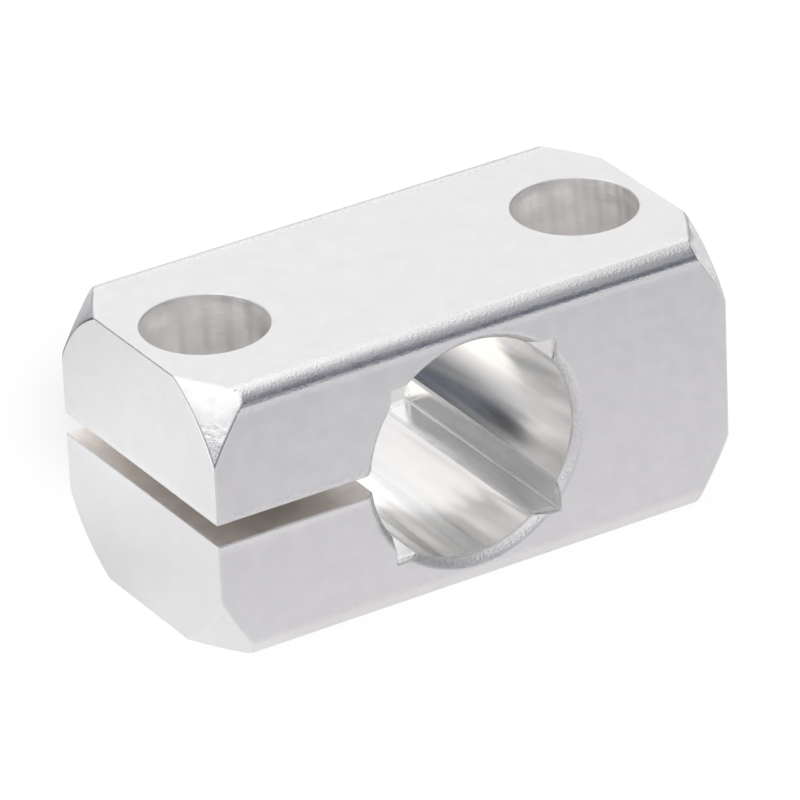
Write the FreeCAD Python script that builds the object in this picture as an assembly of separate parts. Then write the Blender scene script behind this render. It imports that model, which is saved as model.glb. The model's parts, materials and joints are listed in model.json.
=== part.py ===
import FreeCAD, Part
import math
import os

# Split clamping block for a round tube, milled from square aluminium bar.
# Millimetres. The origin is the middle of the block, on the axis of the tube bore.
# +X runs along the block to its solid end, +Y runs through the bore, and +Z points
# out of the face that the screw heads sink into.

# The tube and the bar round it
TUBE_DIAMETER = 20.0        # the bore takes a 20 mm tube
WEB = 2.5                   # metal left above and below the bore
RIM_CHAMFER = 0.7           # chamfer round both mouths of the bore
GROOVE_DEPTH = 1.6          # how far each grip groove reaches beyond the bore wall

# The two screw holes
HEAD_SEAT_DIAMETER = 11.0   # room for a 10 mm socket head
HEAD_SEAT_DEPTH = 6.5       # the head sits half a millimetre below the face
SCREW_CLEARANCE = 6.6       # plain hole for a 6 mm screw
THREAD_DIAMETER = 6.0       # tapped hole, bored to the outside of its thread
SEAT_TO_BORE = 2.9          # wall between a head seat and the bore
SEAT_TO_END = 1.5           # wall between a head seat and the end face

# The saw slot that lets the bore close on the tube
SLOT_WIDTH = 1.9

# Edges
BAR_EDGE_RADIUS = 1.4       # the rounded long edges of the bar
END_CIRCLE_OVER_FLATS = 1.5 # how far the turned end face reaches beyond the flats
END_CONE_ANGLE = 45.0       # degrees between the turned cone and the block's length

# Worked out from the sizes above
BORE_RADIUS = TUBE_DIAMETER / 2
BAR = TUBE_DIAMETER + 2 * WEB
HALF_BAR = BAR / 2
HEAD_SEAT_RADIUS = HEAD_SEAT_DIAMETER / 2
SCREW_X = BORE_RADIUS + SEAT_TO_BORE + HEAD_SEAT_RADIUS
HALF_LENGTH = SCREW_X + HEAD_SEAT_RADIUS + SEAT_TO_END
LENGTH = 2 * HALF_LENGTH
SEAT_FLOOR_Z = HALF_BAR - HEAD_SEAT_DEPTH
GROOVE_SQUARE = math.sqrt(2) * (BORE_RADIUS + GROOVE_DEPTH)

# Cutting tools run this far past the faces that they leave by
OVERRUN = 1.0

X_AXIS = FreeCAD.Vector(1, 0, 0)
Y_AXIS = FreeCAD.Vector(0, 1, 0)
Z_AXIS = FreeCAD.Vector(0, 0, 1)


def centred_box(length, depth, height):
    corner = FreeCAD.Vector(-length / 2, -depth / 2, -height / 2)
    return Part.makeBox(length, depth, height, corner)


def square_bar():
    """The bar, cut to length, with its four long edges rounded."""
    bar = centred_box(LENGTH, BAR, BAR)
    long_edges = [edge for edge in bar.Edges if edge.BoundBox.XLength > HALF_LENGTH]
    return bar.makeFillet(BAR_EDGE_RADIUS, long_edges)


def turned_blank():
    """What the lathe leaves: a round blank with a cone at each end.

    The cones take off only the bar's corners, so each end face is a circle with four
    flats, and a curved three-sided facet is left at each corner of the block.
    """
    end_radius = HALF_BAR + END_CIRCLE_OVER_FLATS
    blank_radius = math.sqrt(2) * HALF_BAR + END_CIRCLE_OVER_FLATS
    cone_length = (blank_radius - end_radius) / math.tan(math.radians(END_CONE_ANGLE))
    profile = Part.makePolygon([
        FreeCAD.Vector(-HALF_LENGTH, 0, 0),
        FreeCAD.Vector(-HALF_LENGTH, 0, end_radius),
        FreeCAD.Vector(-HALF_LENGTH + cone_length, 0, blank_radius),
        FreeCAD.Vector(HALF_LENGTH - cone_length, 0, blank_radius),
        FreeCAD.Vector(HALF_LENGTH, 0, end_radius),
        FreeCAD.Vector(HALF_LENGTH, 0, 0),
        FreeCAD.Vector(-HALF_LENGTH, 0, 0),
    ])
    return Part.Face(profile).revolve(FreeCAD.Vector(0, 0, 0), X_AXIS, 360)


def tube_bore():
    """The bore through the block, with a chamfer at each mouth."""
    start = FreeCAD.Vector(0, -HALF_BAR - OVERRUN, 0)
    tool = Part.makeCylinder(BORE_RADIUS, BAR + 2 * OVERRUN, start, Y_AXIS)
    wide = BORE_RADIUS + RIM_CHAMFER + OVERRUN
    depth = RIM_CHAMFER + OVERRUN
    front_rim = Part.makeCone(wide, BORE_RADIUS, depth, start, Y_AXIS)
    back_start = FreeCAD.Vector(0, HALF_BAR + OVERRUN, 0)
    back_rim = Part.makeCone(wide, BORE_RADIUS, depth, back_start, -Y_AXIS)
    return tool.fuse([front_rim, back_rim])


def grip_grooves():
    """Four square-cornered grooves in the bore wall, cut by one square broach."""
    return centred_box(GROOVE_SQUARE, BAR + 2 * OVERRUN, GROOVE_SQUARE)


def saw_slot():
    """One cut at mid height, from the left end into the bore."""
    start = FreeCAD.Vector(-HALF_LENGTH - OVERRUN, -HALF_BAR - OVERRUN, -SLOT_WIDTH / 2)
    return Part.makeBox(HALF_LENGTH + OVERRUN, BAR + 2 * OVERRUN, SLOT_WIDTH, start)


def drilled_hole(x, diameter, bottom_z, top_z):
    start = FreeCAD.Vector(x, 0, bottom_z)
    return Part.makeCylinder(diameter / 2, top_z - bottom_z, start, Z_AXIS)


def head_seat(x):
    """The flat-bottomed recess that a screw head sinks into."""
    return drilled_hole(x, HEAD_SEAT_DIAMETER, SEAT_FLOOR_Z, HALF_BAR + OVERRUN)


def clamping_screw_hole():
    """Plain through the upper jaw, tapped through the lower jaw."""
    below = -HALF_BAR - OVERRUN
    plain = drilled_hole(-SCREW_X, SCREW_CLEARANCE, 0, SEAT_FLOOR_Z + OVERRUN)
    tapped = drilled_hole(-SCREW_X, THREAD_DIAMETER, below, 0)
    return plain.fuse([tapped, head_seat(-SCREW_X)])


def fixing_screw_hole():
    """Plain right through the solid end, to hold the clamp on what it stands on."""
    below = -HALF_BAR - OVERRUN
    plain = drilled_hole(SCREW_X, SCREW_CLEARANCE, below, SEAT_FLOOR_Z + OVERRUN)
    return plain.fuse([head_seat(SCREW_X)])


def clamp_block():
    block = square_bar().common(turned_blank())
    tools = [tube_bore(), grip_grooves(), saw_slot(), clamping_screw_hole(), fixing_screw_hole()]
    return block.cut(tools).removeSplitter()


def main():
    os.makedirs("parts", exist_ok=True)
    block = clamp_block()
    block.exportStep("parts/clamp_block.step")
    print("clamp_block", "solids", len(block.Solids), "valid", block.isValid(), "volume", round(block.Volume, 1))
    box = block.optimalBoundingBox(False, False)
    print("length", round(box.XLength, 3), "depth", round(box.YLength, 3), "height", round(box.ZLength, 3))


main()
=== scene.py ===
# %% [markdown]
# A split connecting clamp in bare aluminium
#
# The real part is one block sawn from square aluminium bar. A lathe turned a cone on each
# end, a reamer cut the bore, a square broach cut four grooves in its wall, and a saw opened
# the block from one end into the bore. Nothing on it is painted, so all that tells its
# surfaces apart is how each tool left the metal. This lesson keeps the block as the frame
# gives it and spends its effort on those finishes and on the light that they mirror.

# %% Load the frame
import bmesh
import bpy
import json
import math
from mathutils import Matrix, Vector


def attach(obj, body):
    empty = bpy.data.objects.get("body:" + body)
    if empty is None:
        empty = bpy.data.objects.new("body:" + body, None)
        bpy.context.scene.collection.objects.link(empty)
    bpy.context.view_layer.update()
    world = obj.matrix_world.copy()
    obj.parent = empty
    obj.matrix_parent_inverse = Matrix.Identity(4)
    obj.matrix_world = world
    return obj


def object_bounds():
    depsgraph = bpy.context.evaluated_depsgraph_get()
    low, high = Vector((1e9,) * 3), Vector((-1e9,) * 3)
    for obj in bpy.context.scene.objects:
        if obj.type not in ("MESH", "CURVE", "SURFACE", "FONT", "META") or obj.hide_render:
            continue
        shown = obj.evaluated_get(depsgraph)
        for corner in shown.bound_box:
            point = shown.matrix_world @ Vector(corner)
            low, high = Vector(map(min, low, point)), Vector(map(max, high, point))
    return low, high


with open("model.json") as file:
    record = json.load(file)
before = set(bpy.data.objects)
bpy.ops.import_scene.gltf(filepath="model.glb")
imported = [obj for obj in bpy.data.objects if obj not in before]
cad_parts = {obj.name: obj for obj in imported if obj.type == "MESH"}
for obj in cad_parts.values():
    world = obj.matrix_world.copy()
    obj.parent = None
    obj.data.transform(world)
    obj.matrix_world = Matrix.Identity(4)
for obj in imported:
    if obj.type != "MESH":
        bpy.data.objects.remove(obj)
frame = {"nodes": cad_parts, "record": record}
cad_low, cad_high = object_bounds()
block = frame["nodes"]["clamp_block"]
mounts = {mount["name"]: mount for mount in frame["record"]["mounts"]}
print("block measures", [round(1000 * side, 2) for side in cad_high - cad_low], "mm")

# %% [markdown]
# Sizes come from the frame
#
# A script that types its sizes in again falls out of step as soon as the model changes.
# The half sizes of the block come from its box, and each hole's radius and axis come from
# the mounts in the record, so every finish below finds its surface by itself.

# %% Read the sizes
MM = 0.001
HALF_LENGTH = cad_high.x
HALF_BAR = cad_high.z


def mount_radius(name):
    return mounts[name]["dims"]["r_mm"] * MM


def mount_length(name):
    return mounts[name]["dims"]["length_mm"] * MM


def mount_place(name):
    return Vector(mounts[name]["pos_m"])


BORE_RADIUS = mount_radius("tube_bore")
BORE_WALL_HALF = mount_length("tube_bore") / 2
SEAT_RADIUS = mount_radius("clamping_head_seat")
SEAT_FLOOR_Z = HALF_BAR - mount_length("clamping_head_seat")
SCREW_X = mount_place("fixing_screw_hole").x
print("bore radius", BORE_RADIUS, "screw holes at x", SCREW_X)

# %% [markdown]
# Sort the faces by the tool that made them
#
# Blender gives a finish to a face through its material index. Clicking faces by hand would
# be lost at the next change of the model, so each face is tested instead: which way it
# looks, and how far its middle lies from the axis of the tool that cut it. The last finish
# in the list belongs to no face of the frame. It is for the narrow faces along blunted
# edges, which a modifier adds further down.

# %% Name the finish of one face
FINISHES = [
    "milled_face", "turned_end", "turned_cone", "rounded_edge", "bore_wall",
    "bore_rim", "broached_groove", "sawn_slot", "head_seat_wall", "head_seat_floor",
    "drilled_hole", "blunted_edge",
]
CLOSE = 0.05 * MM
SQUARE_ON = 0.999
RIM_REACH = 1.15 * BORE_RADIUS
GROOVE_REACH = 1.2 * BORE_RADIUS
GROOVE_LEAST_HEIGHT = 0.5 * BORE_RADIUS
LEVEL_LEAN = 0.5
CONE_LEAN = 0.3


def distance_to_screw(point):
    return min(math.hypot(point.x - side * SCREW_X, point.y) for side in (-1, 1))


def is_outermost(size, half):
    """True where a face's middle lies in an outer plane of the block."""
    return abs(abs(size) - half) < CLOSE


def finish_of(middle, normal):
    flat = max(abs(normal.x), abs(normal.y), abs(normal.z)) > SQUARE_ON
    from_bore = math.hypot(middle.x, middle.z)
    if flat and is_outermost(middle.x, HALF_LENGTH):
        return "turned_end"
    if flat and (is_outermost(middle.z, HALF_BAR) or is_outermost(middle.y, HALF_BAR)):
        return "milled_face"
    if distance_to_screw(middle) < SEAT_RADIUS + CLOSE:
        if middle.z > SEAT_FLOOR_Z + CLOSE:
            return "head_seat_wall"
        if flat and abs(middle.z - SEAT_FLOOR_Z) < CLOSE:
            return "head_seat_floor"
        if abs(normal.z) < LEVEL_LEAN:
            return "drilled_hole"
    if abs(middle.y) > BORE_WALL_HALF - CLOSE and from_bore < RIM_REACH:
        return "bore_rim"
    if flat and from_bore < GROOVE_REACH and abs(middle.z) > GROOVE_LEAST_HEIGHT:
        return "broached_groove"
    if from_bore < BORE_RADIUS + CLOSE:
        return "bore_wall"
    if flat and abs(normal.z) > SQUARE_ON:
        return "sawn_slot"
    if abs(normal.x) > CONE_LEAN:
        return "turned_cone"
    return "rounded_edge"


# %% [markdown]
# Small tools for shaders
#
# A shader is a chain of small nodes, and making each by hand takes four lines. These helpers
# make one node each and return its output, so that the finishes below read like sums. Every
# pattern reads Object coordinates, which here are metres from the middle of the block, so a
# pattern stays on the metal when the camera or the block moves.

# %% Helpers that make a pattern
def add_node(tree, kind, **inputs):
    node = tree.nodes.new(kind)
    for name, value in inputs.items():
        node.inputs[name.replace("_", " ")].default_value = value
    return node


def object_coordinates(tree, stretch=(1, 1, 1)):
    place = tree.nodes.new("ShaderNodeTexCoord")
    mapping = tree.nodes.new("ShaderNodeMapping")
    mapping.inputs["Scale"].default_value = stretch
    tree.links.new(place.outputs["Object"], mapping.inputs["Vector"])
    return mapping.outputs["Vector"]


def noise(tree, vector, size_mm, detail=2.0, roughness=0.5):
    """A cloudy pattern from 0 to 1 whose clouds are about size_mm wide."""
    scale = 1 / (size_mm * MM)
    node = add_node(tree, "ShaderNodeTexNoise", Scale=scale, Detail=detail, Roughness=roughness)
    tree.links.new(vector, node.inputs["Vector"])
    return node.outputs["Fac"]


# %% Helpers that reckon with a pattern
def maths(tree, operation, first, second=0.0):
    node = tree.nodes.new("ShaderNodeMath")
    node.operation = operation
    for socket, value in zip(node.inputs, (first, second)):
        if isinstance(value, (int, float)):
            socket.default_value = value
        else:
            tree.links.new(value, socket)
    return node.outputs["Value"]


def smooth_step(tree, value, low, high, to_low=0.0, to_high=1.0):
    """A soft switch: to_low at low, to_high at high, and a smooth change between them."""
    node = tree.nodes.new("ShaderNodeMapRange")
    node.interpolation_type = "SMOOTHSTEP"
    sockets = ("From Min", "From Max", "To Min", "To Max")
    for name, number in zip(sockets, (low, high, to_low, to_high)):
        node.inputs[name].default_value = number
    tree.links.new(value, node.inputs["Value"])
    return node.outputs["Result"]


def along(tree, vector, direction):
    """How far a vector reaches in one direction."""
    node = tree.nodes.new("ShaderNodeVectorMath")
    node.operation = "DOT_PRODUCT"
    node.inputs[1].default_value = direction
    tree.links.new(vector, node.inputs[0])
    return node.outputs["Value"]


def blend(tree, first, second, share):
    """Colour that goes from first to second as share goes from 0 to 1."""
    mix = tree.nodes.new("ShaderNodeMix")
    mix.data_type = "RGBA"
    for socket, colour in ((mix.inputs[6], first), (mix.inputs[7], second)):
        if isinstance(colour, tuple):
            socket.default_value = (*colour, 1)
        else:
            tree.links.new(colour, socket)
    tree.links.new(share, mix.inputs["Factor"])
    return mix.outputs[2]


# %% [markdown]
# Where the block is worn
#
# A sawn block is tumbled with stones to take its burrs off. The stones can't bruise a wide
# flat much, but they hit its edges from both sides. So the long edges, the lips of the slot,
# the tips of the end cones and the mouths of the grooves are pitted, and the middle of each
# flat is nearly clean. The stones also rub the edges around the two ends bright. Each
# function below gives 1 at such a place and 0 away from it. Painting these places by hand
# would be quicker once, but a place that is measured from the sizes follows the model.

# %% Helpers that measure a place
CHIP_MM = 0.5


def ragged(tree, here, value, amount):
    """Shift a border to and fro, so that it looks chipped and not drawn."""
    shift = maths(tree, "SUBTRACT", noise(tree, here, CHIP_MM), 0.5)
    return maths(tree, "ADD", value, maths(tree, "MULTIPLY", shift, amount))


def size_along(tree, here, axis):
    return maths(tree, "ABSOLUTE", along(tree, here, axis))


# %% Find the worn edges
LONG_EDGE_SUM = 2 * HALF_BAR
LONG_EDGE_FADE = (LONG_EDGE_SUM - 2.1 * MM, LONG_EDGE_SUM - 1.5 * MM)
LEAN_FADE = (-0.6 * MM, 0.3 * MM)
LEAN_SHARE = (0.5, 1.0)
LIP_FADE = (1.0 * MM, 1.9 * MM)
SLOT_SIDE_FADE = (-8 * MM, -9 * MM)


def worn_edges(tree):
    """The long edges, more so above and below than in front, and the lips of the slot."""
    here = object_coordinates(tree)
    depth = size_along(tree, here, (0, 1, 0))
    height = size_along(tree, here, (0, 0, 1))
    out = ragged(tree, here, maths(tree, "ADD", depth, height), 1.0 * MM)
    long_edge = smooth_step(tree, out, *LONG_EDGE_FADE)
    lean = smooth_step(tree, maths(tree, "SUBTRACT", height, depth), *LEAN_FADE, *LEAN_SHARE)
    long_edge = maths(tree, "MULTIPLY", long_edge, lean)
    lip = smooth_step(tree, ragged(tree, here, height, 1.2 * MM), *LIP_FADE, 1.0, 0.0)
    slot_side = smooth_step(tree, along(tree, here, (1, 0, 0)), *SLOT_SIDE_FADE)
    return maths(tree, "MAXIMUM", long_edge, maths(tree, "MULTIPLY", lip, slot_side))


# %% Find the worn corners, tips and mouths
DEPTH_SHARE = 0.4
CORNER_FADE = (HALF_LENGTH - 1.0 * MM, HALF_LENGTH - 0.2 * MM)
TIP_FADE = (8.0 * MM, 10.0 * MM)
MOUTH_FADE = (HALF_BAR - 1.1 * MM, HALF_BAR - 0.6 * MM)


def end_corners(tree):
    """The edges around the two ends, but not the rims of the screw holes near them."""
    here = object_coordinates(tree)
    sideways = maths(tree, "MULTIPLY", size_along(tree, here, (0, 1, 0)), DEPTH_SHARE)
    out = maths(tree, "ADD", size_along(tree, here, (1, 0, 0)), sideways)
    return smooth_step(tree, out, *CORNER_FADE)


def worn_tips(tree):
    """The pointed ends of the cone's facets, on the front and back of the block."""
    here = object_coordinates(tree)
    height = ragged(tree, here, size_along(tree, here, (0, 0, 1)), 3.0 * MM)
    return smooth_step(tree, height, *TIP_FADE, 1.0, 0.0)


def worn_mouths(tree):
    """The last millimetre of the bore and its grooves."""
    here = object_coordinates(tree)
    depth = ragged(tree, here, size_along(tree, here, (0, 1, 0)), 0.8 * MM)
    return smooth_step(tree, depth, *MOUTH_FADE)


# %% [markdown]
# Aluminium, tool by tool
#
# All the finishes are the same metal, so one function builds them and only its settings
# change. Metal has no colour of its own under its gloss: what is seen is the room, blurred
# by the roughness of the surface. Stains shift the colour over a few millimetres, a finer
# cloud shifts the roughness, and one grain dents the whole surface as bump. Where the stones
# bit, pits of two smaller sizes are added to it. A stretch smaller than 1 draws the cloud
# and the grain out along that axis into tool marks.

# %% The aluminium itself
STAIN_MM = 3.0
SHEEN_MM = 1.1
FINE_PIT_MM = 0.11
COARSE_PIT_MM = 0.25


def aluminium(name, colour, roughness, grain_mm, dent_mm, stretch=(1, 1, 1), stain=0.01,
              worn=None, polished=None):
    """One finish. worn is a place and the pits' depth there in mm, polished a place and the
    roughness there."""
    material = bpy.data.materials.new(name)
    material.use_nodes = True
    tree = material.node_tree
    shader = tree.nodes["Principled BSDF"]
    shader.inputs["Metallic"].default_value = 1.0

    here = object_coordinates(tree)
    drawn = object_coordinates(tree, stretch)
    dark = tuple(channel * (1 - stain) for channel in colour)
    pale = tuple(min(1.0, channel * (1 + stain)) for channel in colour)
    cloud = smooth_step(tree, noise(tree, here, STAIN_MM, detail=5.0, roughness=0.6), 0.35, 0.65)
    tree.links.new(blend(tree, dark, pale, cloud), shader.inputs["Base Color"])
    rough = smooth_step(tree, noise(tree, drawn, SHEEN_MM), 0.3, 0.7, *roughness)
    if polished:
        place, polished_roughness = polished
        excess = maths(tree, "SUBTRACT", rough, polished_roughness)
        rough = maths(tree, "SUBTRACT", rough, maths(tree, "MULTIPLY", excess, place(tree)))
    tree.links.new(rough, shader.inputs["Roughness"])

    height = maths(tree, "MULTIPLY", noise(tree, drawn, grain_mm), dent_mm * MM)
    if worn:
        place, pit_mm = worn
        fine = noise(tree, here, FINE_PIT_MM, detail=3.0)
        pits = maths(tree, "ADD", fine, noise(tree, here, COARSE_PIT_MM))
        deep = maths(tree, "MULTIPLY", place(tree), pit_mm * MM)
        height = maths(tree, "ADD", height, maths(tree, "MULTIPLY", pits, deep))
    bump = add_node(tree, "ShaderNodeBump", Strength=1.0, Distance=1.0)
    tree.links.new(height, bump.inputs["Height"])
    tree.links.new(bump.outputs["Normal"], shader.inputs["Normal"])
    return material


# %% [markdown]
# The settings of each finish
#
# Roughness is a pair, the smoothest and the roughest that the cloud reaches. The reamed and
# broached walls are the smoothest. The flats, which the stones dulled, and the sawn slot are
# much rougher. The slot and the screw holes look a little warmer in the photograph than the
# outside does, because of the shade in these hollows. So their colour is warmer too: the
# metal's own colour with a painted warm shade tint.

# %% List the finishes
BARE = (0.87, 0.87, 0.875)
# The metal's colour with a painted warm shade tint, for the screw holes.
HOLE_METAL_WARM_SHADE = (0.90, 0.885, 0.87)
REAMED = (0.935, 0.93, 0.92)
# The metal's colour with a painted warm shade tint, for the sawn slot.
SLOT_METAL_WARM_SHADE = (0.90, 0.865, 0.83)
ALONG_BORE = (1, 0.1, 1)
IN_RINGS = (0.15, 0.15, 1)
SETTINGS = {
    "milled_face": dict(
        colour=BARE, roughness=(0.48, 0.545), grain_mm=0.30, dent_mm=0.003,
        worn=(worn_edges, 0.040), polished=(worn_edges, 0.28)),
    "turned_end": dict(
        colour=BARE, roughness=(0.48, 0.53), grain_mm=0.30, dent_mm=0.002,
        worn=(worn_edges, 0.030), polished=(worn_edges, 0.32)),
    "turned_cone": dict(
        colour=BARE, roughness=(0.34, 0.42), grain_mm=0.25, dent_mm=0.003,
        worn=(worn_tips, 0.050), polished=(worn_tips, 0.30)),
    "rounded_edge": dict(
        colour=BARE, roughness=(0.25, 0.33), grain_mm=0.30, dent_mm=0.010,
        worn=(worn_edges, 0.044)),
    "bore_wall": dict(
        colour=REAMED, roughness=(0.21, 0.26), grain_mm=0.16, dent_mm=0.0007,
        stretch=ALONG_BORE, worn=(worn_mouths, 0.012)),
    "bore_rim": dict(
        colour=BARE, roughness=(0.22, 0.30), grain_mm=0.30, dent_mm=0.010,
        worn=(worn_mouths, 0.070)),
    "broached_groove": dict(
        colour=BARE, roughness=(0.20, 0.26), grain_mm=0.12, dent_mm=0.0015,
        stretch=ALONG_BORE, worn=(worn_mouths, 0.050)),
    "sawn_slot": dict(
        colour=SLOT_METAL_WARM_SHADE, roughness=(0.46, 0.56), grain_mm=0.14, dent_mm=0.012,
        stretch=ALONG_BORE, stain=0.06),
    "head_seat_wall": dict(
        colour=HOLE_METAL_WARM_SHADE, roughness=(0.30, 0.48), grain_mm=0.24, dent_mm=0.018,
        stretch=IN_RINGS, stain=0.05),
    "head_seat_floor": dict(
        colour=HOLE_METAL_WARM_SHADE, roughness=(0.28, 0.36), grain_mm=0.20, dent_mm=0.003, stain=0.03),
    "drilled_hole": dict(
        colour=HOLE_METAL_WARM_SHADE, roughness=(0.30, 0.40), grain_mm=0.24, dent_mm=0.008,
        stretch=IN_RINGS, stain=0.04),
    "blunted_edge": dict(
        colour=BARE, roughness=(0.50, 0.60), grain_mm=0.30, dent_mm=0.010,
        worn=(worn_edges, 0.050), polished=(end_corners, 0.28)),
}
finishes = {name: aluminium(name, **SETTINGS[name]) for name in FINISHES}
print("made", len(finishes), "finishes")

# %% [markdown]
# Hand out the finishes
#
# A mesh keeps its materials in numbered slots, and each face holds one number. The slots are
# filled in the order of the list, so a finish's number is its place in the list. The counts
# that are printed show at once if a test above missed a face.

# %% Give each face its finish
mesh = block.data
mesh.materials.clear()
for name in FINISHES:
    mesh.materials.append(finishes[name])
count = dict.fromkeys(FINISHES, 0)
for face in mesh.polygons:
    name = finish_of(face.center, face.normal)
    face.material_index = FINISHES.index(name)
    count[name] += 1
print("faces by finish", count)

# %% [markdown]
# Broken edges
#
# Tumbling leaves every sharp edge about a sixth of a millimetre blunt, and such an edge
# catches the light as a hairline. The frame's mesh is loose triangles, so a first modifier
# joins them and a second makes each flat one face. The third cuts the edges. Its angle limit
# is wide, so that the small steps of the rounded edges are left alone, and its narrow faces
# get the last finish of the list.

# %% Blunt the sharp edges
EDGE_BREAK = 0.17 * MM
SAME_POINT = 0.001 * MM
SAME_FLAT = math.radians(0.5)
SHARP = math.radians(30)

weld = block.modifiers.new("join the loose triangles", "WELD")
weld.merge_threshold = SAME_POINT
flatten = block.modifiers.new("one face for each flat", "DECIMATE")
flatten.decimate_type = "DISSOLVE"
flatten.angle_limit = SAME_FLAT
flatten.delimit = {"MATERIAL"}
blunt = block.modifiers.new("blunt edges", "BEVEL")
blunt.width = EDGE_BREAK
blunt.segments = 2
blunt.limit_method = "ANGLE"
blunt.angle_limit = SHARP
blunt.use_clamp_overlap = False
blunt.material = FINISHES.index("blunted_edge")
blunt.harden_normals = True
print("edges blunted by", round(EDGE_BREAK / MM, 2), "mm")

# %% [markdown]
# The thread
#
# The frame's tapped hole is a plain bore as wide as the thread's outside. The ridge that a
# tap leaves is its own piece here: one tooth outline, turned about the hole's axis while it
# climbs by one pitch each turn.

# %% Draw one tooth
THREAD_RADIUS = mount_radius("clamping_screw_thread")
THREAD_LENGTH = mount_length("clamping_screw_thread")
THREAD_PITCH = 1.0 * MM
THREAD_HEIGHT = 0.54 * MM
FOOT_SINK = 0.05 * MM
TOOTH_RISES = (0.06, 0.44, 0.56, 0.94)
STEPS_PER_TURN = 40


def tooth_outline(base_radius, low):
    """Foot, crest, crest and foot of one tooth. The feet sink into the wall of the hole."""
    crest_radius = base_radius - THREAD_HEIGHT
    foot_radius = base_radius + FOOT_SINK
    radii = (foot_radius, crest_radius, crest_radius, foot_radius)
    return [(radius, 0, low + rise * THREAD_PITCH) for radius, rise in zip(radii, TOOTH_RISES)]


# %% Wind the tooth up the hole
turns = THREAD_LENGTH / THREAD_PITCH - 1
steps = int(turns * STEPS_PER_TURN)
ridge_mesh = bmesh.new()
outline = [ridge_mesh.verts.new(corner) for corner in tooth_outline(THREAD_RADIUS, -HALF_BAR)]
first_end = ridge_mesh.faces.new(outline)
bmesh.ops.spin(
    ridge_mesh, geom=[*outline, *first_end.edges, first_end], axis=(0, 0, 1), cent=(0, 0, 0),
    dvec=(0, 0, turns * THREAD_PITCH / steps), angle=2 * math.pi * turns, steps=steps)
bmesh.ops.recalc_face_normals(ridge_mesh, faces=ridge_mesh.faces)
bmesh.ops.translate(ridge_mesh, verts=ridge_mesh.verts, vec=(-SCREW_X, 0, 0))
ridge_data = bpy.data.meshes.new("thread_ridge")
ridge_mesh.to_mesh(ridge_data)
ridge_mesh.free()
ridge_data.materials.append(finishes["drilled_hole"])
ridge = bpy.data.objects.new("thread_ridge", ridge_data)
bpy.context.collection.objects.link(ridge)
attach(ridge, "root")
print("thread ridge has", len(ridge_data.polygons), "faces over", round(turns, 2), "turns")

# %% [markdown]
# The light is a map, not a set of lamps
#
# Polished metal has no look of its own, it shows what stands around it. Each stripe in the
# photograph therefore tells where something bright or dark stood. The two lists below write
# that down, one for the paper under the block and one for the room around it. Each row is a
# soft round spot laid over the rows before it: where it is, where it starts to fade, where
# it has gone, and its colour. Lamps could draw the same stripes, but a dark spot can't be
# made by a lamp, and the dark spots matter as much as the bright ones.

# %% Lay soft spots over each other
def spots_by_direction(tree, towards, base, spots):
    """Colour by direction. Places and sizes are in degrees: round from +X, and up."""
    colour = base
    for round_angle, up_angle, full, gone, tint in spots:
        turned, raised = math.radians(round_angle), math.radians(up_angle)
        level_part = math.cos(raised)
        axis = (math.cos(turned) * level_part, math.sin(turned) * level_part, math.sin(raised))
        closeness = along(tree, towards, axis)
        rim, core = math.cos(math.radians(gone)), math.cos(math.radians(full))
        colour = blend(tree, colour, tint, smooth_step(tree, closeness, rim, core))
    return colour


def spots_by_place(tree, here, base, spots):
    """Colour by place on the floor. Places and sizes are in millimetres."""
    colour = base
    for x, y, full, gone, tint in spots:
        offset = tree.nodes.new("ShaderNodeVectorMath")
        offset.operation = "DISTANCE"
        offset.inputs[1].default_value = (x * MM, y * MM, 0)
        tree.links.new(here, offset.inputs[0])
        share = smooth_step(tree, offset.outputs["Value"], full * MM, gone * MM, 1.0, 0.0)
        colour = blend(tree, colour, tint, share)
    return colour


# %% [markdown]
# The paper
#
# The block stands on a sheet of white paper. To the metal the paper glows with painted
# light: a painted pool of light near the block that falls off into the dark room, with
# painted bright and dark patches over it. The camera is shown plain white, as in the
# photograph, with only a trace of the real shadow. One patch behind the block stays real
# shaded paper for the camera too, because the photograph shows some of it through the bore.
# The paper's glow isn't sampled as a lamp, because only the metal's reflections look at it.

# %% List the painted light spots on the paper
# Painted light and shade on the paper, seen only by the metal: dark far off, painted bright
# pools and dark patches near the block.
PAINTED_PAPER_FAR = (0.07, 0.08, 0.13)
PAINTED_PAPER_SPOTS = [
    (46, 13, 77, 203, (0.80, 0.78, 0.79)),
    (318, 126, 130, 297, (1.25, 1.25, 1.24)),
    (-94, 46, 54, 75, (1.17, 1.17, 1.17)),
    (170, 290, 80, 150, (0.70, 0.70, 0.70)),
    (10, 20, 12, 18, (1.26, 1.22, 1.15)),
    (140, -75, 25, 60, (0.05, 0.06, 0.09)),
    (20, 26, 11, 16, (1.30, 1.28, 1.20)),
    (-22, 58, 3, 38, (0.04, 0.05, 0.06)),
    (-82, 124, 49, 56, (0.01, 0.01, 0.01)),
    (-30, -7, 7, 15, (0.90, 0.89, 0.90)),
    (43, 37, 27, 32, (0.02, 0.02, 0.02)),
    (8, 130, 20, 48, (1.20, 1.20, 1.20)),
]
BEHIND_THE_BORE = [(6, 24, 8, 34, (1.0, 1.0, 1.0))]
print(len(PAINTED_PAPER_SPOTS), "spots on the paper")

# %% Build the floor
FLOOR_SIZE = 6.0
FLOOR_GAP = 0.01 * MM
PAPER_WHITE = (0.82, 0.82, 0.82, 1)
PLAIN_WHITE_LEVEL = 1.03
SHADOW_SHARE = 0.07


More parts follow.
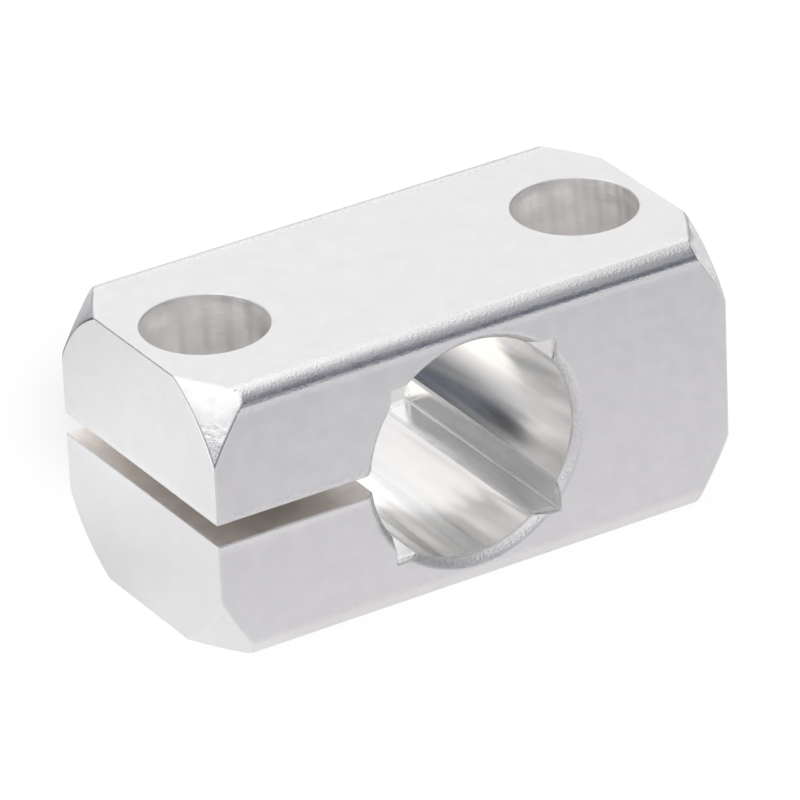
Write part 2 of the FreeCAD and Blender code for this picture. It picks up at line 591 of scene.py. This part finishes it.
def floor_material():
    """Plain white with a trace of shadow to the camera, painted light and shade to the metal."""
    material = bpy.data.materials.new("white_paper")
    material.use_nodes = True
    tree = material.node_tree
    tree.nodes.clear()
    output = tree.nodes.new("ShaderNodeOutputMaterial")
    light_path = tree.nodes.new("ShaderNodeLightPath")
    paper = add_node(tree, "ShaderNodeBsdfDiffuse", Color=PAPER_WHITE)
    white = add_node(tree, "ShaderNodeEmission", Color=(1, 1, 1, 1), Strength=PLAIN_WHITE_LEVEL)
    mirrored = tree.nodes.new("ShaderNodeEmission")
    # The painted light and shade that the metal sees on the paper.
    painted_paper_light = spots_by_place(tree, object_coordinates(tree), PAINTED_PAPER_FAR, PAINTED_PAPER_SPOTS)
    tree.links.new(painted_paper_light, mirrored.inputs["Color"])

    to_metal = tree.nodes.new("ShaderNodeMixShader")
    tree.links.new(light_path.outputs["Is Glossy Ray"], to_metal.inputs["Fac"])
    tree.links.new(paper.outputs["BSDF"], to_metal.inputs[1])
    tree.links.new(mirrored.outputs["Emission"], to_metal.inputs[2])
    to_camera = tree.nodes.new("ShaderNodeMixShader")
    real = spots_by_place(tree, object_coordinates(tree), (0.0, 0.0, 0.0), BEHIND_THE_BORE)
    plain = smooth_step(tree, real, 0.0, 1.0, 1 - SHADOW_SHARE, 0.0)
    share = maths(tree, "MULTIPLY", light_path.outputs["Is Camera Ray"], plain)
    tree.links.new(share, to_camera.inputs["Fac"])
    tree.links.new(to_metal.outputs["Shader"], to_camera.inputs[1])
    tree.links.new(white.outputs["Emission"], to_camera.inputs[2])
    tree.links.new(to_camera.outputs["Shader"], output.inputs["Surface"])
    material.cycles.emission_sampling = "NONE"
    return material


bpy.ops.mesh.primitive_plane_add(size=FLOOR_SIZE, location=(0, 0, cad_low.z - FLOOR_GAP))
floor = bpy.context.object
floor.name = "floor"
floor.data.materials.append(floor_material())

# %% [markdown]
# The room
#
# A broad pale ceiling gives the top face its even white. A brighter window on the left makes
# the small facet there shine. The dark spots are the photographer's side, which draws the
# dark line along the rounded edge, and a black card behind the block, which draws the dark
# band inside the bore. The small bright spots around that card are the gaps beside it, which
# light the upper part of the bore. The camera itself sees plain white behind the paper.

# %% List the spots in the room
HORIZON = (0.098, 0.103, 0.123)
HORIZON_TOP = 0.21
ROOM_FAR = (0.645, 0.621, 0.648)
ROOM_SPOTS = [
    (59, 76, 19, 76, (1.08, 1.08, 1.08)),
    (59, 0, 10, 24, (0.90, 0.90, 0.90)),
    (165, 57, 40, 57, (1.30, 1.30, 1.30)),
    (55, 16, 9, 14, (1.30, 1.30, 1.30)),
    (41, 28, 8, 13, (0.40, 0.37, 0.35)),
    (104, 14, 6, 18, (1.08, 1.08, 1.09)),
    (137, 10, 7, 12, (0.01, 0.01, 0.01)),
    (117, 7, 8, 15, (0.03, 0.05, 0.09)),
    (5, 24, 12, 28, (0.25, 0.24, 0.23)),
    (105, 48, 14, 22, (0.98, 0.96, 0.95)),
    (121, 32, 9, 14, (0.12, 0.12, 0.13)),
    (313, 9, 28, 52, (0.06, 0.07, 0.10)),
    (316, 45, 15, 37, (0.47, 0.47, 0.49)),
    (120, 18, 5, 9, (1.25, 1.22, 1.18)),
    (154, 0, 11, 16, (0.80, 0.80, 0.80)),
]
print(len(ROOM_SPOTS), "spots in the room")

# %% Draw the room
world = bpy.data.worlds.new("white_room")
bpy.context.scene.world = world
world.use_nodes = True
sky = world.node_tree
sky.nodes.clear()
towards = sky.nodes.new("ShaderNodeTexCoord").outputs["Generated"]
height = smooth_step(sky, along(sky, towards, (0, 0, 1)), 0.0, HORIZON_TOP)
room = spots_by_direction(sky, towards, blend(sky, HORIZON, ROOM_FAR, height), ROOM_SPOTS)
light_path = sky.nodes.new("ShaderNodeLightPath")
seen = blend(sky, room, (1.0, 1.0, 1.0), light_path.outputs["Is Camera Ray"])
background = sky.nodes.new("ShaderNodeBackground")
sky.links.new(seen, background.inputs["Color"])
world_output = sky.nodes.new("ShaderNodeOutputWorld")
sky.links.new(background.outputs["Background"], world_output.inputs["Surface"])

# %% [markdown]
# The camera
#
# The photograph was taken with a long lens from above the slotted end. Its place was found
# by matching the block's edges to the picture: turned 31 degrees to the left of the front
# face and 28 degrees above it, with the horizon tipped a little.

# %% Point the camera
CAMERA_AZIMUTH = math.radians(-31.07)
CAMERA_ELEVATION = math.radians(27.84)
CAMERA_ROLL = math.radians(-2.42)

level = math.cos(CAMERA_ELEVATION)
back = Vector((
    math.sin(CAMERA_AZIMUTH) * level,
    -math.cos(CAMERA_AZIMUTH) * level,
    math.sin(CAMERA_ELEVATION)))
level_right = Vector((0, 0, 1)).cross(back).normalized()
level_up = back.cross(level_right)
right = math.cos(CAMERA_ROLL) * level_right + math.sin(CAMERA_ROLL) * level_up
up = back.cross(right)
turn = Matrix((right, up, back)).transposed()

# %% Place the camera
CAMERA_DISTANCE = 703.5 * MM
CAMERA_RIGHT = 0.20 * MM
CAMERA_UP = -0.42 * MM
FOCAL_LENGTH_MM = 372.6
SENSOR_MM = 36.0
NEAREST_SEEN = 0.01
FARTHEST_SEEN = 20.0

centre = (cad_low + cad_high) / 2
place = centre + back * CAMERA_DISTANCE + right * CAMERA_RIGHT + up * CAMERA_UP
camera_data = bpy.data.cameras.new("camera")
camera = bpy.data.objects.new("camera", camera_data)
bpy.context.collection.objects.link(camera)
camera.matrix_world = Matrix.Translation(place) @ turn.to_4x4()
camera_data.sensor_width = SENSOR_MM
camera_data.lens = FOCAL_LENGTH_MM
camera_data.clip_start = NEAREST_SEEN
camera_data.clip_end = FARTHEST_SEEN
bpy.context.scene.camera = camera
bpy.context.scene.view_settings.view_transform = "Standard"
print("camera stands", round(CAMERA_DISTANCE / MM, 1), "mm from the middle of the block")
